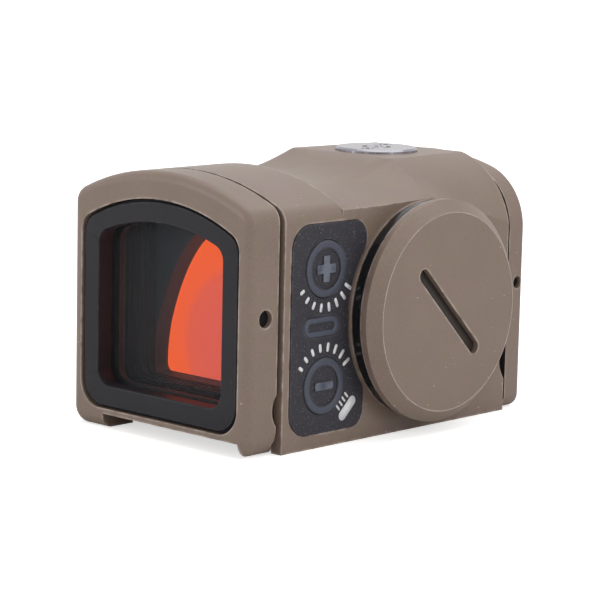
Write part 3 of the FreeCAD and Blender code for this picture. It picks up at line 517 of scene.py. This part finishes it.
lens_wide = add_ramp(lens_group, lens_far, WIDE_OUTER, WIDE_INNER)
lens_drift = add_math(lens_group, "ADD", add_math(lens_group, "MULTIPLY", lens_band, BAND_SHARE),
                      add_math(lens_group, "MULTIPLY", lens_wide, WIDE_SHARE))
lens_group.links.new(add_mix(lens_group, lens_drift, lens_in.outputs["Warm"], lens_in.outputs["Cool"]),
                     lens_out.inputs["Color"])

# %% Coated lens
coated_glass, coated_tree, coated_shader = new_material("coated_glass")
painted_reflection = place_group(coated_tree, lens_group, warm=(1.0, 0.125, 0.022), cool=(0.76, 0.112, 0.075))
# The glow is the painted orange reflection of the mirror coat.
coated_tree.links.new(painted_reflection.outputs["Color"], coated_shader.inputs["Emission Color"])
coated_shader.inputs["Base Color"].default_value = (0.10, 0.012, 0.006, 1.0)
coated_shader.inputs["Emission Strength"].default_value = 0.92
coated_shader.inputs["Roughness"].default_value = 0.15
coated_shader.inputs["Specular IOR Level"].default_value = 0.2
print("finish: coated_glass")

# %% [markdown]
# ## Finishes on the CAD parts
# Each CAD part takes the finish of its slot, apart from the lens cell, which is a little paler than the tunnel
# round it. The key bases and the status bar are moulded in the keypad's sheet and share its finish. Many CAD
# corners are dead sharp, so on the parts that show a weld joins the faces and a narrow bevel rounds the
# corners, which is what catches the light on a real part. Both are modifiers: the part's own mesh stays as it
# is.

# %% Paint and soften the CAD parts
finish_of_slot = {
    "body_coat": body_coat, "frame_black": frame_black, "clear_glass": clear_glass,
    "coated_glass": coated_glass, "seal_rubber": seal_rubber, "tunnel_black": tunnel_black,
    "bare_aluminium": bare_aluminium, "dark_plastic": dark_plastic, "led_plastic": led_plastic,
    "dial_black": dial_black, "cell_steel": cell_steel, "contact_brass": contact_brass,
    "gasket_rubber": gasket_rubber, "keypad_rubber": keypad_rubber, "key_rubber": keypad_rubber,
    "status_plastic": keypad_rubber, "board_plastic": board_green,
}
SPECIAL_FINISH = {"lens_cell": cell_black}
slot_of_node = {part["node"]: part["material_slot"] for part in frame["record"]["subparts"]}
# Bevel widths in millimetres.
soft_corner = {"main_housing": 0.16, "front_bezel": 0.30, "rear_bezel": 0.30, "battery_cap": 0.12,
               "front_window_frame": 0.14, "rear_window_frame": 0.14, "keypad_panel": 0.10,
               "elevation_screw": 0.05, "windage_screw": 0.05}


WELD_DISTANCE = 0.002 * MM
SHARP_ANGLE = math.radians(32)
FLAT_FACE_WEIGHT = 60


def soften(part, width):
    """Welds the part's faces and rounds its corners, without touching its mesh."""
    weld = part.modifiers.new("weld", "WELD")
    weld.merge_threshold = WELD_DISTANCE
    bevel = part.modifiers.new("bevel", "BEVEL")
    bevel.width = width
    bevel.segments = 3
    bevel.limit_method = "ANGLE"
    bevel.angle_limit = SHARP_ANGLE
    bevel.miter_outer = "MITER_ARC"
    even = part.modifiers.new("even_normals", "WEIGHTED_NORMAL")
    even.keep_sharp = False
    even.weight = FLAT_FACE_WEIGHT


for node_name, part in nodes.items():
    part.data.materials.clear()
    slot_finish = finish_of_slot[slot_of_node[node_name]]
    part.data.materials.append(SPECIAL_FINISH.get(node_name, slot_finish))
    if node_name in soft_corner:
        soften(part, soft_corner[node_name] * MM)
print("painted", len(nodes), "CAD parts and softened", len(soft_corner))

# %% [markdown]
# ## Pieces on a flat face
# The key rims, the marks and the print all lie on the keypad, which faces sideways. One helper turns an outline
# in the keypad's own across-and-up plane into a low slab, and one turns a closed path into a rounded rim.


# %% Piece helper
def add_piece(name, mesh_builder, finish, body, bevel=0.0):
    """Makes a mesh object, gives it a finish, and lets it ride on a body."""
    mesh = bpy.data.meshes.new(name)
    mesh_builder.to_mesh(mesh)
    mesh_builder.free()
    mesh.materials.append(finish)
    piece = bpy.data.objects.new(name, mesh)
    bpy.context.scene.collection.objects.link(piece)
    if bevel:
        soft = piece.modifiers.new("bevel", "BEVEL")
        soft.width = bevel
        soft.segments = 3
        soft.limit_method = "ANGLE"
    for polygon in mesh.polygons:
        polygon.use_smooth = not bevel
    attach(piece, body)
    print(name, "rides on", body, "with", len(mesh.polygons), "faces")


# %% Outline helpers
def circle_path(centre, radius, count=96):
    """Closed ring of points in the (y, z) plane."""
    steps = [2 * math.pi * index / count for index in range(count)]
    return [(centre[0] + radius * math.cos(a), centre[1] + radius * math.sin(a)) for a in steps]


def stadium_path(centre, length, height, count=24):
    """Closed outline of a bar with round ends, lying along the first axis."""
    radius, half = height / 2, (length - height) / 2
    points = []
    for side, start in ((1, -math.pi / 2), (-1, math.pi / 2)):
        for index in range(count + 1):
            angle = start + math.pi * index / count
            points.append((centre[0] + side * half + radius * math.cos(angle),
                           centre[1] + radius * math.sin(angle)))
    return points


def cross_path(centre, length, width):
    """Closed outline of a plus sign."""
    a, b = length / 2, width / 2
    steps = [(a, -b), (a, b), (b, b), (b, a), (-b, a), (-b, b),
             (-a, b), (-a, -b), (-b, -b), (-b, -a), (b, -a), (b, -b)]
    return [(centre[0] + y, centre[1] + z) for y, z in steps]


def slab(builder, outline, x_low, x_high):
    """Adds a low solid with the given (y, z) outline between two x planes."""
    low = [builder.verts.new((x_low, y, z)) for y, z in outline]
    high = [builder.verts.new((x_high, y, z)) for y, z in outline]
    builder.faces.new(list(reversed(low)))
    builder.faces.new(high)
    for index in range(len(outline)):
        following = (index + 1) % len(outline)
        builder.faces.new((low[index], low[following], high[following], high[index]))


RIM_SQUARENESS = 6


def rim(builder, path, width, x_low, height, across_steps=9):
    """Adds a rounded rim of a given width that follows a closed path."""
    count = len(path)
    rows = []
    for index in range(count):
        before, after = path[index - 1], path[(index + 1) % count]
        along = Vector((after[0] - before[0], after[1] - before[1])).normalized()
        side = Vector((along.y, -along.x))
        row = []
        for step in range(across_steps):
            share = step / (across_steps - 1)
            offset = (share - 0.5) * width
            lift = height * (1 - abs(2 * share - 1) ** RIM_SQUARENESS)
            row.append(builder.verts.new((x_low + lift, path[index][0] + side.x * offset,
                                          path[index][1] + side.y * offset)))
        rows.append(row)
    for index in range(count):
        here, there = rows[index], rows[(index + 1) % count]
        for step in range(across_steps - 1):
            builder.faces.new((here[step], here[step + 1], there[step + 1], there[step]))


def turned(points, centre, angle):
    """The points turned about a centre."""
    cosine, sine = math.cos(angle), math.sin(angle)
    result = []
    for y, z in points:
        dy, dz = y - centre[0], z - centre[1]
        result.append((centre[0] + dy * cosine - dz * sine, centre[1] + dy * sine + dz * cosine))
    return result


# %% [markdown]
# ## Keys and status bar
# Each key has a broad raised rim and a raised mark, in the bluer rubber. They are separate pieces, so they can
# travel with their key. Their places come from the CAD keys under them.

# %% Key rims and marks
def middle(node):
    """The middle of a CAD part's box."""
    low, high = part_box(node)
    return (low + high) / 2


RIM_OUTER, RIM_INNER = 3.22 * MM, 2.28 * MM
MARK_LENGTH, MARK_WIDTH = 2.95 * MM, 1.0 * MM
MINUS_SLIMNESS = 0.9
RIM_LIFT = 0.16 * MM
MARK_BEVEL = 0.05 * MM
panel_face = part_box("keypad_panel")[1].x
for key, sign in (("increase", "plus"), ("decrease", "minus")):
    spot = middle(key + "_button")
    place = (spot.y, spot.z)
    rim_mesh = bmesh.new()
    rim_path = circle_path(place, (RIM_OUTER + RIM_INNER) / 2)
    rim(rim_mesh, rim_path, RIM_OUTER - RIM_INNER, panel_face, RIM_LIFT)
    add_piece(key + "_rim", rim_mesh, key_rubber, key + "_key")
    mark_mesh = bmesh.new()
    if sign == "plus":
        outline = cross_path(place, MARK_LENGTH, MARK_WIDTH)
    else:
        outline = stadium_path(place, MARK_LENGTH, MARK_WIDTH * MINUS_SLIMNESS)
    slab(mark_mesh, outline, panel_face, panel_face + RIM_LIFT)
    add_piece(key + "_mark", mark_mesh, key_rubber, key + "_key", bevel=MARK_BEVEL)

# %% Status bar rim
STATUS_LENGTH, STATUS_HEIGHT, STATUS_RIM_WIDTH = 4.9 * MM, 1.5 * MM, 0.62 * MM
status_low, status_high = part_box("status_window")
status_place = ((status_low.y + status_high.y) / 2, (status_low.z + status_high.z) / 2)
status_mesh = bmesh.new()
status_path = stadium_path(status_place, STATUS_LENGTH, STATUS_HEIGHT)
rim(status_mesh, status_path, STATUS_RIM_WIDTH, panel_face, RIM_LIFT)
add_piece("status_rim", status_mesh, key_rubber, "housing")

# %% [markdown]
# ## Printed scale
# Words around the keys would name a maker's layout, so a plain scale takes their place: bars that grow beside
# the plus key and shrink beside the minus key, and a blank bar with four ticks for the long press.

# %% Printed marks
PRINT_LIFT = 0.012 * MM
SCALE_RADIUS, SCALE_REACH = 4.35 * MM, math.radians(58)
BARS, BAR_SHORTEST, BAR_GROWTH, BAR_HEIGHT = 8, 0.80, 0.50, 0.42 * MM
BAR_END_STEPS = 6


def print_scale(name, key, middle_angle, growing):
    """Bars along an arc round a key."""
    spot = middle(key)
    builder = bmesh.new()
    for index in range(BARS):
        share = index / (BARS - 1)
        angle = middle_angle + SCALE_REACH * (2 * share - 1)
        length = (BAR_SHORTEST + BAR_GROWTH * (share if growing else 1 - share)) * MM
        centre = (spot.y + SCALE_RADIUS * math.cos(angle), spot.z + SCALE_RADIUS * math.sin(angle))
        bar = turned(stadium_path(centre, length, BAR_HEIGHT, BAR_END_STEPS), centre, angle)
        slab(builder, bar, panel_face, panel_face + PRINT_LIFT)
    add_piece(name, builder, print_white, "housing")


print_scale("increase_scale", "increase_button", math.radians(-90), True)
print_scale("decrease_scale", "decrease_button", math.radians(90), False)

# %% Blank label
LABEL_PLACE = (-8.02 * MM, 2.31 * MM)
LABEL_TURN = math.radians(44)
LABEL_LENGTH, LABEL_HEIGHT = 3.3 * MM, 1.15 * MM
TICKS, TICK_STEP, TICK_ABOVE = 4, 0.62 * MM, 1.25 * MM
TICK_LENGTH, TICK_HEIGHT = 0.85 * MM, 0.26 * MM
label_mesh = bmesh.new()
label_path = turned(stadium_path(LABEL_PLACE, LABEL_LENGTH, LABEL_HEIGHT), LABEL_PLACE, LABEL_TURN)
slab(label_mesh, label_path, panel_face, panel_face + PRINT_LIFT)
for index in range(TICKS):
    along = (index - (TICKS - 1) / 2) * TICK_STEP
    tick = (LABEL_PLACE[0] + along * math.cos(LABEL_TURN) - TICK_ABOVE * math.sin(LABEL_TURN),
            LABEL_PLACE[1] + along * math.sin(LABEL_TURN) + TICK_ABOVE * math.cos(LABEL_TURN))
    bar = turned(stadium_path(tick, TICK_LENGTH, TICK_HEIGHT, BAR_END_STEPS), tick, LABEL_TURN + math.pi / 2)
    slab(label_mesh, bar, panel_face, panel_face + PRINT_LIFT)
add_piece("hold_label", label_mesh, print_white, "housing")

# %% [markdown]
# ## The cap's edge and slot
# Light catches the corner between the cap's face and its bevel, and the bottom of the coin slot lies in shade.
# A very thin pale ring paints the highlight on the corner, and a dark strip on the slot's floor paints the
# shade.

# %% Cap edge highlight
cap_low, cap_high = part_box("battery_cap")
CAP_CENTRE = ((cap_low.y + cap_high.y) / 2, (cap_low.z + cap_high.z) / 2)
CAP_FACE_RADIUS, EDGE_WIDTH, EDGE_LIFT = 11.5 * MM, 0.10 * MM, 0.015 * MM
EDGE_STEPS = 180
edge_mesh = bmesh.new()
edge_path = circle_path(CAP_CENTRE, CAP_FACE_RADIUS - EDGE_WIDTH / 2, EDGE_STEPS)
rim(edge_mesh, edge_path, EDGE_WIDTH, cap_high.x, EDGE_LIFT)
add_piece("cap_edge_highlight", edge_mesh, painted_edge_highlight, "cap")

# %% Slot shade
# The strip lies on the slot's floor and fills its lowest part, as painted shade.
SLOT_LENGTH, SLOT_WIDTH, SLOT_DEPTH, SLOT_GAP = 14.5 * MM, 1.6 * MM, 1.2 * MM, 0.04 * MM
SLOT_TURN, SHADE_TOP = math.radians(-45), 0.62
floor_path = stadium_path(CAP_CENTRE, SLOT_LENGTH - SLOT_GAP, SLOT_WIDTH - SLOT_GAP)
slot_mesh = bmesh.new()
slab(slot_mesh, turned(floor_path, CAP_CENTRE, SLOT_TURN), cap_high.x - SLOT_DEPTH,
     cap_high.x - SLOT_DEPTH * SHADE_TOP)
add_piece("cap_slot_shade", slot_mesh, painted_slot_shade, "cap")

# %% [markdown]
# ## Screws in the side holes
# Each side of both bezels has a small blind hole for a retaining screw. Only the screw's dark head would
# show, deep in the hole, so one flat disc for each hole is enough.

# %% Side screws
SCREW_SINK, SCREW_THICK, SCREW_BEVEL = 0.55 * MM, 0.4 * MM, 0.08 * MM
SCREW_Z, SCREW_STEPS = 13.7 * MM, 40
# Each row is a bezel, its screws' radius and their distance from its outer end.
screw_rows = (("front_bezel", 0.96 * MM, 2.6 * MM), ("rear_bezel", 0.71 * MM, 1.2 * MM))
for bezel_name, screw_radius, end_gap in screw_rows:
    bezel_low, bezel_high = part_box(bezel_name)
    screw_y = bezel_low.y + end_gap if bezel_name == "front_bezel" else bezel_high.y - end_gap
    screw_mesh = bmesh.new()
    for face_x, inward in ((bezel_high.x, -1), (bezel_low.x, 1)):
        outer = face_x + inward * SCREW_SINK
        inner = outer + inward * SCREW_THICK
        screw_path = circle_path((screw_y, SCREW_Z), screw_radius, SCREW_STEPS)
        slab(screw_mesh, screw_path, min(outer, inner), max(outer, inner))
    add_piece(bezel_name.replace("bezel", "side_screws"), screw_mesh, tunnel_black, "housing",
              bevel=SCREW_BEVEL)
